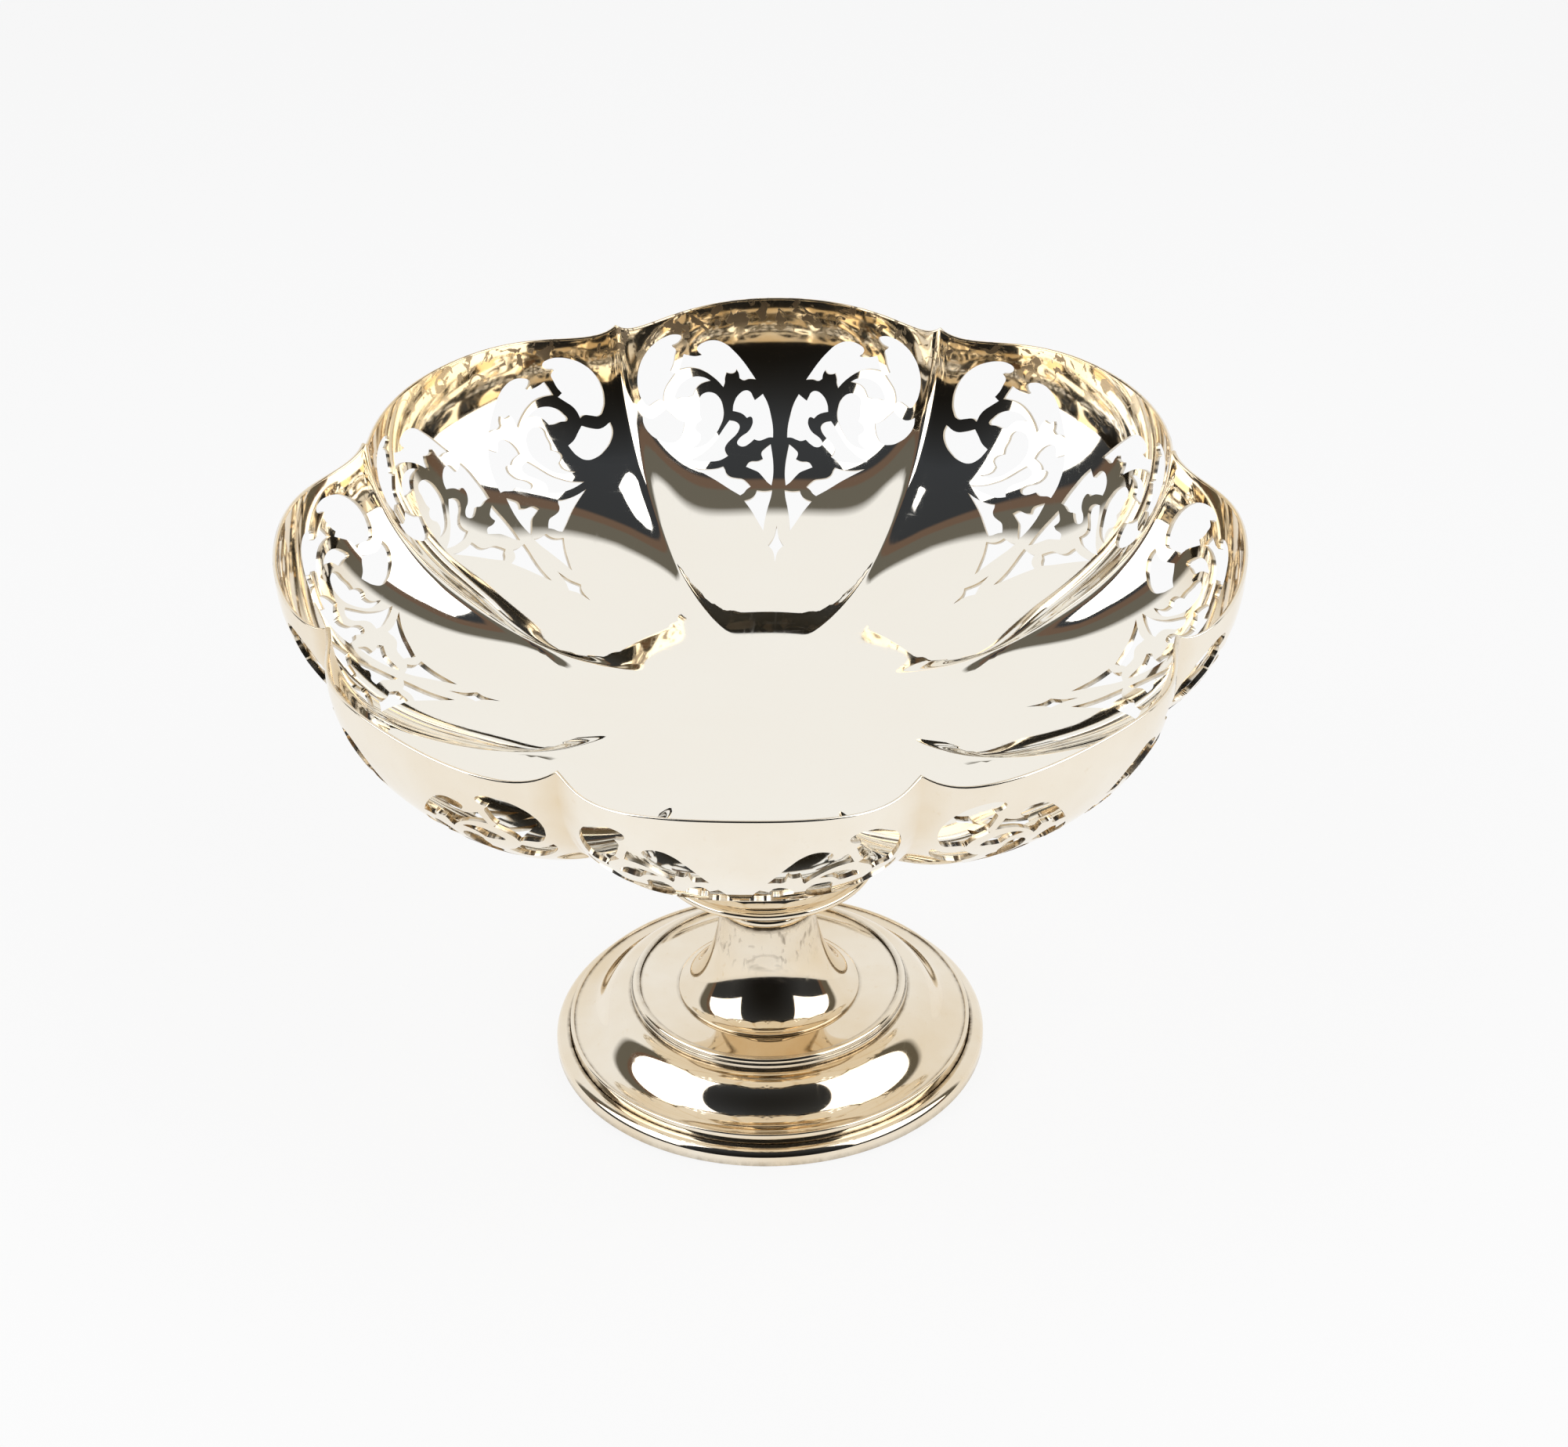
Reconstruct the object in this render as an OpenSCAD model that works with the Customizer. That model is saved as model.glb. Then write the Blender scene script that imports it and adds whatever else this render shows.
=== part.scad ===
// Footed compote bowl: a lobed, pierced bowl on a turned stem and a stepped, domed foot.
// Millimetres, +Z up, the origin in the middle of the face it rests on.

/* [Bowl] */
// Height of the rim's inward points above the table
bowl_h = 129.2; // [115:0.1:150]
// Inside radius of the rim in the middle of a lobe
lobe_r = 100; // [90:0.5:115]
// Inside radius of the rim at the inward points between lobes
cusp_r = 92.6; // [84:0.1:98]
// Depth from the rim's points to the bottom
bowl_depth = 43.8; // [40:0.1:50]
// Depth at which the ribs between lobes would meet the axis
rib_depth = 41.5; // [38:0.1:43]
// Thickness of the sheet
bowl_wall = 1; // [0.8:0.1:1.6]
// Radius of the flat in the middle of the bottom
flat_r = 24; // [22:0.5:26]
// Radius where the ribs begin to rise out of the bottom
rib_start_r = 27; // [26.5:0.5:34]
// Radius where the ribs are at their full height
rib_full_r = 50; // [44:0.5:58]
// Drop of the rim in the middle of a lobe
lobe_drop = 1.2; // [0:0.1:3]
// Further drop of the rim towards a lobe's shoulders
shoulder_drop = 4.4; // [0:0.1:6]
// Number of lobes
lobe_count = 8; // [7:1:9]

/* [Socket and collar] */
// Radius of the socket's plate under the bowl
socket_r = 21; // [17:0.5:23.5]
// Thickness of the socket's plate
socket_edge_h = 1.2; // [0.8:0.1:2]
// Radius of the socket's neck
neck_r = 9.6; // [9:0.1:11]
// Radius of the socket where it stands on the collar
neck_base_r = 11.6; // [10.5:0.1:13]
// Radius of the collar's lip
collar_r = 23.9; // [20:0.1:28]
// Thickness of the collar's lip
lip_h = 2; // [1.6:0.1:2.6]
// Height of the collar's dome above its lip
collar_dome_h = 4.6; // [3.5:0.1:7]
// Radius of the flat on top of the collar's dome
collar_top_r = 13.4; // [13.2:0.1:15]
// Height of the cup under the collar
cup_h = 8.8; // [7:0.1:11]
// Radius of the cup where it stands on the bead
cup_base_r = 9.4; // [8.8:0.1:10]
// How far the collar's lip stands out from the cup
lip_reach = 1.6; // [0.8:0.1:3]

/* [Stem] */
// Radius of the bell at the bottom of the stem
bell_r = 19.6; // [18.6:0.1:20.5]
// Height of the edge that the bell stands on
bell_edge_h = 0.6; // [0.4:0.1:1]
// Thickness of the bell's wall
bell_wall = 1.5; // [1.2:0.1:2]
// Radius of the stem's waist
waist_r = 10.3; // [9.5:0.1:12]
// Height of the stem from the dish to its shoulder
stem_h = 21.8; // [19:0.1:28]
// Thickness of the stem's shoulder
shoulder_h = 2.2; // [1.6:0.1:3]
// Radius of the bead on the shoulder
bead_r = 10.9; // [10:0.1:12]
// Height of the bead
bead_h = 3; // [2.4:0.1:3.6]
// Radius of the tube that carries bead, cup, collar and socket
spigot_r = 7; // [6.6:0.1:7.6]
// Radius of the tube's bore
bore_r = 5.6; // [5:0.1:6]
// Length of the tube inside the socket
spigot_reach = 8; // [6:0.5:12]

/* [Foot] */
// Radius of the foot's rim
foot_r = 46.7; // [44:0.1:50]
// Height of the rim's lip
rim_h = 3.7; // [3.2:0.1:4.4]
// Height of the seat that the dome stands on
seat_h = 2.4; // [1.8:0.1:2.9]
// Width of the rim's lip outside the dome
rim_lip_w = 3; // [2.2:0.1:4]
// Width of the rim inside the dome
rim_toe_w = 0.4; // [0.2:0.1:1]
// Radius of the rim's top edge rounding
rim_round_r = 2.1; // [1.4:0.1:2.6]
// Height of the foot's dome
dome_h = 13; // [11.5:0.1:15]
// Height of the dome's upright wall above the rim's lip
groove_h = 1.5; // [1:0.1:2]
// Radius of the small bead round the dome's lower edge
dome_bead_r = 0.45; // [0.35:0.05:0.6]
// Thickness of the dome's wall
dome_wall = 1.2; // [1:0.1:1.6]
// Width of the ledge on top of the dome
ledge_w = 4.3; // [3.6:0.1:5.2]
// Radius of the step ring
step_r = 30.1; // [28.5:0.1:33]
// Height of the step ring
step_h = 2.5; // [2.1:0.1:3.2]
// Width of the step ring
step_w = 1.9; // [1.6:0.1:2.4]
// Width of the ledge between the ring's two steps
step_ledge_w = 0.4; // [0.2:0.05:0.7]
// Depth of the dish's edge inside the step ring
dish_edge_h = 1.9; // [1.5:0.1:2.2]
// Thickness of the dish's floor under the bell
dish_floor_h = 0.9; // [0.8:0.1:1.4]
// Radius of the hole in the dish under the bell
dish_hole_r = 13; // [12.8:0.1:14.5]

/* [Hidden] */
// Clearance round the tube and the seats
fit = 0.1;
// Overrun of the cuts
over = 3;
// Facets of the turned pieces
$fn = 96;

// Bowl: shares of the half lobe (0 at its middle, 1 at the rib) and of the rise (0 at the axis, 1 at the rim)
rib_round_share = 0.06;
rib_power = 3;
sheet_shares = [-1, -0.92, -0.7, -0.36, 0, 0.36, 0.7, 0.92];
rise_power = 1.35;
rise_steps = 7;
drop_start_share = 0.33;
half_lobe = 180 / lobe_count;
flat_share = asin(pow(flat_r / lobe_r, 2)) / 90;
flat_z = bowl_h - (bowl_depth + bowl_wall) * cos(90 * flat_share);

// Heights of the seats, from the table up
dish_z = dome_h + dish_floor_h;
shoulder_z = dish_z + stem_h;
cup_z = shoulder_z + bead_h;
lip_z = cup_z + cup_h;
socket_z = lip_z + lip_h + collar_dome_h;
spigot_z = socket_z + spigot_reach;

// Radii of the seats
dome_r = foot_r - rim_lip_w - fit;
ledge_r = step_r + fit;
ledge_in_r = ledge_r - ledge_w;
dish_r = step_r - step_w - fit;
sleeve_r = spigot_r + fit;

// Pierced scrolls: openings on one side of a lobe's middle, each point as share of the half lobe, share of
// the rise and 1 for a sharp point. The outline runs as a curve through the points that aren't sharp.
outer_scroll_shares = [[.61, .917, 1], [.77, .907, 0], [.895, .789, 0], [.835, .704, 1], [.735, .778, 0],
    [.685, .871, 1]];
corner_leaf_shares = [[.89, .672, 1], [.85, .6, 0], [.72, .561, 0], [.61, .589, 1], [.71, .656, 0], [.8, .638, 1]];
top_leaf_shares = [[.61, .787, 1], [.48, .822, 1], [.4, .863, 0], [.25, .803, 0], [.165, .72, 1], [.27, .73, 1],
    [.345, .706, 1], [.45, .764, 0]];
crescent_shares = [[.4, .718, 1], [.51, .753, 0], [.63, .711, 0], [.6, .653, 1], [.54, .702, 0]];
eye_shares = [[.362, .622, 0], [.445, .687, 0], [.52, .61, 0], [.6, .522, 1], [.45, .54, 0]];
kidney_shares = [[.3, .628, 1], [.22, .684, 0], [.16, .654, 1], [.11, .674, 1], [.055, .589, 0], [.055, .536, 1],
    [.17, .536, 1], [.29, .522, 0], [.2, .583, 0]];
tail_shares = [[.27, .583, 1], [.34, .531, 0], [.385, .484, 1], [.62, .493, 1], [.46, .519, 0], [.31, .591, 1]];
wing_shares = [[.61, .473, 1], [.39, .462, 1], [.35, .424, 0], [.24, .411, 0], [.29, .378, 1]];
stalk_shares = [[.065, .522, 1], [.043, .456, 0], [.05, .398, 1], [.14, .443, 1], [.235, .456, 1], [.145, .47, 1]];
dart_shares = [[.265, .36, 1], [.195, .389, 1], [.062, .386, 1], [.115, .278, 1]];
scroll_shares = [outer_scroll_shares, corner_leaf_shares, top_leaf_shares, crescent_shares, eye_shares,
    kidney_shares, tail_shares, wing_shares, stalk_shares, dart_shares];
lozenge_share = 0.247;
lozenge_half_shares = [0.066, 0.036];
probe_share = 0.004;

// Curves

function bezier(p0, p1, p2, p3, steps) = [for (i = [0 : steps]) let (t = i / steps, u = 1 - t)
    u * u * u * p0 + 3 * u * u * t * p1 + 3 * u * t * t * p2 + t * t * t * p3];

function backwards(list) = [for (i = [len(list) - 1 : -1 : 0]) list[i]];

function flat2(p) = [p[0], p[1]];

// Tangent of an outline at one of its points, none at a sharp one
function lean(pts, i) = let (n = len(pts))
    pts[i][2] == 1 ? [0, 0] : (flat2(pts[(i + 1) % n]) - flat2(pts[(i + n - 1) % n])) / 2;

// Closed curve through the points, straight between two sharp ones
function outline(pts) = [for (i = [0 : len(pts) - 1]) let (
    j = (i + 1) % len(pts), a = flat2(pts[i]), b = flat2(pts[j]), both = pts[i][2] + pts[j][2] == 2,
    m = pts[i][2] == 1 ? (b - a) - lean(pts, j) / 2 : lean(pts, i),
    n = pts[j][2] == 1 ? (b - a) - lean(pts, i) / 2 : lean(pts, j))
    each both ? [a] : [a, (a + b) / 2 + (m - n) / 8]];

// Bowl

function smooth(x) = let (c = min(1, max(0, x))) c * c * (3 - 2 * c);

// How much of the rib there is at a share of the half lobe
function rib(t) = let (u = 1 - abs(t), d = sqrt(u * u + rib_round_share * rib_round_share) - rib_round_share)
    pow(max(0, 1 - d), rib_power);

// Drop of the rim at a share of the half lobe
function drop(t) = (lobe_drop + shoulder_drop * t * t) * (1 - pow(t, 6));

// Point of the sheet: t share of the half lobe, p share of the rise, out the distance outside the inner face
function sheet(t, p, out) = let (
    s = sqrt(sin(90 * p)),
    w = rib(t) * smooth((s * lobe_r - rib_start_r) / (rib_full_r - rib_start_r)),
    k = max(0, (p - drop_start_share) / (1 - drop_start_share)),
    r = s * (lobe_r + out + w * (cusp_r - lobe_r)),
    z = -cos(90 * p) * (bowl_depth + out + w * (rib_depth - bowl_depth)) - drop(t) * k * k)
    [r * cos(half_lobe * t), r * sin(half_lobe * t), z];

function turned(p, a) = [p[0] * cos(a) - p[1] * sin(a), p[0] * sin(a) + p[1] * cos(a), p[2]];

function sheet_ring(p, out) = [for (lobe = [0 : lobe_count - 1], t = sheet_shares)
    turned(sheet(t, p, out), 2 * half_lobe * lobe)];

function rise(i) = flat_share + (1 - flat_share) * pow(i / rise_steps, rise_power);

// Faces of a wall between rings i and i + 1, each of n points, the other way round when flip is set
function wall_faces(n, rings, first, flip) = [for (i = [0 : rings - 1], j = [0 : n - 1]) let (
    a = first + i * n + j, b = first + i * n + (j + 1) % n, c = a + n, d = b + n)
    each flip ? [[a, d, b], [a, c, d]] : [[a, b, d], [a, d, c]]];

module shell() {
    n = lobe_count * len(sheet_shares);
    rings = rise_steps + 1;
    inner = [for (i = [0 : rise_steps]) each sheet_ring(rise(i), 0)];
    outer = [for (i = [0 : rise_steps]) each sheet_ring(rise(i), bowl_wall)];
    o = n * rings;
    top = rise_steps * n;
    bottom_in = [for (j = [n - 1 : -1 : 0]) j];
    bottom_out = [for (j = [0 : n - 1]) o + j];
    edge = [for (j = [0 : n - 1]) let (k = (j + 1) % n)
        each [[top + j, top + k, o + top + k], [top + j, o + top + k, o + top + j]]];
    polyhedron(points = concat(inner, outer),
        faces = concat([bottom_in, bottom_out], wall_faces(n, rise_steps, 0, false),
            wall_faces(n, rise_steps, o, true), edge));
}

function unit(v) = v / norm(v);

// Frame on the sheet: along the rim, up the wall and out of the face
module on_sheet(t, p) {
    step = probe_share;
    c = sheet(t, p, bowl_wall / 2);
    along = unit(sheet(t + step, p, bowl_wall / 2) - c);
    out = unit(cross(along, sheet(t, p + step, bowl_wall / 2) - c));
    up = cross(out, along);
    multmatrix([[along[0], up[0], out[0], c[0]], [along[1], up[1], out[1], c[1]], [along[2], up[2], out[2], c[2]],
        [0, 0, 0, 1]])
        children();
}

// Place of a point of the sheet in the frame at (t, p)
function local(q, t, p) = let (
    step = probe_share,
    c = sheet(t, p, bowl_wall / 2),
    along = unit(sheet(t + step, p, bowl_wall / 2) - c),
    out = unit(cross(along, sheet(t, p + step, bowl_wall / 2) - c)),
    d = sheet(q[0], q[1], bowl_wall / 2) - c)
    [d * along, d * cross(out, along)];

function mean(pts, k) = [for (q = pts) q[k]] * [for (q = pts) 1] / len(pts);

// One opening of the scrolls, cut square through the sheet at its middle
module opening(pts, side) {
    shares = [for (q = outline(pts)) [side * q[0], q[1]]];
    t = mean(shares, 0);
    p = mean(shares, 1);
    on_sheet(t, p)
        translate([0, 0, -over])
            linear_extrude(2 * over)
                polygon([for (q = side > 0 ? shares : backwards(shares)) local(q, t, p)]);
}

module lozenge() {
    wide = local([lozenge_half_shares[0], lozenge_share], 0, lozenge_share)[0];
    tall = local([0, lozenge_share + lozenge_half_shares[1]], 0, lozenge_share)[1];
    on_sheet(0, lozenge_share)
        translate([0, 0, -over])
            linear_extrude(2 * over)
                hull() {
                    polygon([[-wide, 0], [0, -tall], [0, tall]]);
                    polygon([[wide, 0], [0, tall], [0, -tall]]);
                }
}

module scrolls() {
    for (pts = scroll_shares, side = [-1, 1])
        opening(pts, side);
    lozenge();
}

module bowl() {
    color("silver")
        translate([0, 0, bowl_h])
            difference() {
                shell();
                for (lobe = [0 : lobe_count - 1])
                    rotate([0, 0, 2 * half_lobe * lobe])
                        scrolls();
            }
}

// Socket and collar

socket_curve_shares = [0.25, 0.6];

module socket() {
    rise_h = flat_z - socket_edge_h - socket_z;
    color("gainsboro")
        rotate_extrude()
            polygon(concat(
                [[sleeve_r, socket_z]],
                bezier([neck_base_r, socket_z], [neck_r, socket_z + rise_h * socket_curve_shares[0]],
                    [neck_r, socket_z + rise_h * socket_curve_shares[1]], [socket_r, socket_z + rise_h], 14),
                [[socket_r, flat_z], [bore_r, flat_z], [bore_r, spigot_z + fit], [sleeve_r, spigot_z + fit]]));
}

collar_curve_shares = [0.42, 0.25];

module collar() {
    lip = lip_h / 2;
    foot = [collar_r - lip_h, lip_z + lip];
    top = [collar_top_r, socket_z];
    w = foot[0] - top[0];
    color("silver")
        rotate_extrude()
            polygon(concat(
                [[sleeve_r, lip_z]],
                [for (i = [0 : 11]) let (a = -90 + 270 * i / 12)
                    [collar_r - lip + lip * cos(a), lip_z + lip + lip * sin(a)]],
                bezier(foot, [foot[0] - w * collar_curve_shares[0], foot[1]],
                    [foot[0] - w * collar_curve_shares[1], top[1]], top, 14),
                [[sleeve_r, socket_z]]));
}

cup_curve_shares = [0.55, 0.35, 0.9];

module cup() {
    r = collar_r - lip_reach;
    w = r - cup_base_r;
    color("gainsboro")
        rotate_extrude()
            polygon(concat(
                [[sleeve_r, cup_z]],
                bezier([cup_base_r, cup_z], [cup_base_r, cup_z + cup_h * cup_curve_shares[0]],
                    [cup_base_r + w * cup_curve_shares[1], cup_z + cup_h * cup_curve_shares[2]], [r, lip_z], 12),
                [[sleeve_r, lip_z]]));
}

module bead() {
    half = bead_h / 2;
    color("silver")
        rotate_extrude()
            polygon(concat(
                [[sleeve_r, shoulder_z]],
                [for (i = [0 : 10]) let (a = -90 + 180 * i / 10)
                    [bead_r - half + half * cos(a), shoulder_z + half + half * sin(a)]],
                [[sleeve_r, cup_z]]));
}

// Stem

stem_curve_shares = [0.645, 0.01, 0.404];

// Flare of the stem from the radius r at low to the waist at high
function stem_curve(r, low, top_r, high) = let (w = r - top_r, h = high - low)
    bezier([r, low], [r - w * stem_curve_shares[0], low + h * stem_curve_shares[1]],
        [top_r, low + h * stem_curve_shares[2]], [top_r, high], 16);

module stem() {
    in_z = shoulder_z - shoulder_h;
    color("gainsboro")
        rotate_extrude()
            polygon(concat(
                [[bell_r, dish_z]],
                stem_curve(bell_r, dish_z + bell_edge_h, waist_r, shoulder_z),
                [[spigot_r, shoulder_z], [spigot_r, spigot_z], [bore_r, spigot_z], [bore_r, in_z]],
                backwards(stem_curve(bell_r - bell_wall, dish_z, waist_r - bell_wall, in_z))));
}

// Foot

dish_curve_shares = [0.3, 0.75, 0.4];

module dish() {
    edge = [dish_r, dome_h + dish_edge_h];
    seat = [bell_r + fit, dish_z];
    d = seat - edge;
    color("silver")
        rotate_extrude()
            polygon(concat(
                [[dish_r, dome_h]],
                bezier(edge, edge + [d[0] * dish_curve_shares[0], d[1] * dish_curve_shares[1]],
                    [seat[0] - d[0] * dish_curve_shares[2], seat[1]], seat, 10),
                [[dish_hole_r, dish_z], [dish_hole_r, dome_h]]));
}

step_shares = [0.52, 0.8, 0.4];

module step_ring() {
    a = step_r - step_ledge_w;
    b = a - step_ledge_w;
    color("gainsboro")
        rotate_extrude()
            polygon([[step_r - step_w, dome_h], [step_r, dome_h], [step_r, dome_h + step_h * step_shares[0]],
                [a, dome_h + step_h * step_shares[0]], [a, dome_h + step_h * step_shares[1]], [b, dome_h + step_h],
                [step_r - step_w, dome_h + step_h]]);
}

dome_curve_shares = [0.57, 0.54];
dome_inside_share = 0.6;

// Double curve of the dome from its lower end to its upper one, level at both
function dome_curve(low, top) = let (w = low[0] - top[0]) bezier(low, [low[0] - w * dome_curve_shares[0], low[1]],
    [top[0] + w * dome_curve_shares[1], top[1]], top, 16);

module foot_dome() {
    low_z = rim_h + groove_h + dome_bead_r;
    low = [dome_r - 2 * dome_bead_r, low_z];
    top = [ledge_r, dome_h];
    in = [dome_wall * dome_inside_share, dome_wall];
    color("silver")
        rotate_extrude()
            polygon(concat(
                [[dome_r, seat_h]],
                [for (i = [0 : 7]) let (a = 180 * i / 8)
                    [dome_r - dome_bead_r + dome_bead_r * cos(a), low_z + dome_bead_r * sin(a)]],
                dome_curve(low, top),
                [[ledge_in_r, dome_h], [ledge_in_r, dome_h - dome_wall]],
                backwards(dome_curve(low - in, top - in)),
                [[dome_r - dome_wall, low_z - dome_wall], [dome_r - dome_wall, seat_h]]));
}

module foot_rim() {
    lip_r = dome_r + fit;
    in_r = dome_r - dome_wall - rim_toe_w;
    color("gainsboro")
        rotate_extrude()
            polygon(concat(
                [[in_r, 0], [foot_r, 0]],
                [for (i = [0 : 8]) let (a = 90 * i / 8)
                    [foot_r - rim_round_r + rim_round_r * cos(a), rim_h - rim_round_r + rim_round_r * sin(a)]],
                [[lip_r, rim_h], [lip_r, seat_h], [in_r, seat_h]]));
}

bowl();
socket();
collar();
cup();
bead();
stem();
dish();
step_ring();
foot_dome();
foot_rim();
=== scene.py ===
"""Footed compote bowl in polished silver: a lobed, pierced bowl on a turned stem and a stepped foot."""

import math
from types import SimpleNamespace

import bmesh
import bpy
import numpy as np
from mathutils import Matrix, Vector


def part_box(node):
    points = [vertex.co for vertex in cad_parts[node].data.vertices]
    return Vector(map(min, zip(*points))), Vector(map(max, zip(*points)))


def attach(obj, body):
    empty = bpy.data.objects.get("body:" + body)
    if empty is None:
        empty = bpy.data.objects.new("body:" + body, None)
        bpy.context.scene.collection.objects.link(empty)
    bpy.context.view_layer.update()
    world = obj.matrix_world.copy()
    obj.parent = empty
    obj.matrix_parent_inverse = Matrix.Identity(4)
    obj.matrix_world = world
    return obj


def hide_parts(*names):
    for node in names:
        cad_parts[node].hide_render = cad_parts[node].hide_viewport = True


bl_info = {
    "name": "Footed compote bowl",
    "version": (1, 0, 0),
    "blender": (4, 5, 0),
    "location": "3D View > Sidebar > Compote",
    "description": "Builds a pierced, lobed silver bowl on a turned stem and foot",
    "category": "Object",
}

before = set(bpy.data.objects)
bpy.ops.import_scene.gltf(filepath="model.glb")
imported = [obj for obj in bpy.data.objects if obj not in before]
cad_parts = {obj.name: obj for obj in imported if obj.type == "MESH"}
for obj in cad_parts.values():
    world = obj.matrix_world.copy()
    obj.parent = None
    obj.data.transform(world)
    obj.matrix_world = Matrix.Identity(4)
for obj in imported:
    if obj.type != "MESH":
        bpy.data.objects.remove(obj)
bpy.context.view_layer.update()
MM = 0.001

# Bowl: counts of the sheet's grid, then the shares and powers that shape it
COLUMNS = 24
ROWS = 84
RIM_STRIPS = 6
OUTLINE_STEPS = 4
COLUMN_POWER = 1.4
ROW_POWER = 1.6
RIB_ROUND_SHARE = 0.06
RIB_POWER, RIB_POWER_LOW = 3, 4.5
RIB_POWER_RISES = (0.2, 0.62)
DROP_START_SHARE, DROP_FADE_POWER = 0.33, 6
DIP_POWER_IN, DIP_POWER_OUT = 1.5, 1.6
DIP_CURL_POWER, DIP_FADE_POWER = 6, 12

# Flat sheet in which the scrolls are cut: width of half a lobe and its rise, nearness of points that merge
# and of faces at a seam, and the saw's reach in thicknesses of the sheet
FLAT_X, FLAT_Y = 40.0, 100.0
FLAT_MERGE, FLAT_SEAM = 1e-4, 1e-3
SAW_DEPTH = 4

# Wrapped sheet: nearness of points that merge, slivers, and shares of the rise to probe with, at the bottom
# and at the rim
MERGE, SLIVER = 1e-6, 1e-8
PROBE_SHARE, POLE_SHARE, RIM_SHARE = 0.002, 1e-4, 1 - 1e-6

# Turned pieces: steps of the spin and the curves, and which corners are rounded
SPIN_STEPS = 192
CURVE_STEPS, BELL_STEPS, DOME_STEPS = 28, 48, 56
LIP_STEPS, BEAD_STEPS, DOME_BEAD_STEPS, RIM_STEPS = 27, 18, 16, 14
CORNER_TURN, CORNER_ROOM, CORNER_STEPS = math.radians(28), 2.2, 4
EVEN_SHADING_WEIGHT = 50

# Handles of the turned curves, as shares of their width or height
NECK_PULLS = (0.25, 0.6)
COLLAR_PULLS = (0.42, 0.25)
CUP_PULL_LOW, CUP_PULL_HIGH = 0.55, (0.35, 0.9)
BELL_PULLS = (0.48, 0.55)
DISH_PULLS = ((0.3, 0.75), (0.4, 0))
DOME_PULLS = (0.57, 0.54)
STEP_SHARES = (0.52, 0.8)
DOME_SKIN_SHARE = 0.6

# Silver: roughness that each effect adds, the stem's brushed band, where film, mottling and painted
# reflection lie on the bowl
RUBBED_ROUGH, FILM_ROUGH, TARNISH_ROUGH, SATIN_ROUGH = 0.05, 0.03, 0.35, 0.17
SATIN_START_SHARE, SATIN_PAST, SATIN_FADE, SATIN_STREAKS = 0.5, 4 * MM, 3.5 * MM, 0.45
# Film high inside the bowl and the mottling under its rim are partly film and tarnish, partly a painted
# reflection of the warm room
FILM_AND_REFLECTION_RISES, FILM_OUTSIDE, FILM_INSIDE = (0.56, 0.9), 2, 0.3
GROOVE_START, GROOVE_FILM = 0.85, 0.4
MOTTLE_AND_REFLECTION_RISES, MOTTLE_AND_REFLECTION_DEPTHS, MOTTLE_AND_REFLECTION_STRENGTH = (0.86, 0.92), (0.05, 0.08), 0.8
FACE_CHANGE, SAWN_TARNISH = (0.45, 0.55), 0.3

# Sockets of the Mix node that hold its factor, its two colours and its mixed colour
MIX_FACTOR, MIX_A, MIX_B, MIX_RESULT = 0, 6, 7, 2

# Upright soft boxes as seen from the object, in degrees: left and right azimuth counted from the camera's
# side, then lowest and highest elevation
SOFT_BOXES = {"softbox_left": (-92, -42, 6, 71), "softbox_right": (43, 98, 6, 71)}
LAMP_DISTANCE, LAMP_AIM = 0.55, 0.11
FLOOR_REACH, FLOOR_LIFT = 1.2, 0.84
SENSOR_WIDTH, IMAGE_WIDTH, CLIP_END = 36, 2002, 20

# Bands of the room, from the camera's side (-1) to the back (1), and their colours
ROOM_BANDS = [(-0.96, "room_front"), (-0.5, "room_top"), (0.03, "room_side"), (0.06, "room_curtain"),
              (0.125, "room_curtain"), (0.145, "room_wall"), (0.29, "room_wall"), (0.365, "backdrop")]

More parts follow.
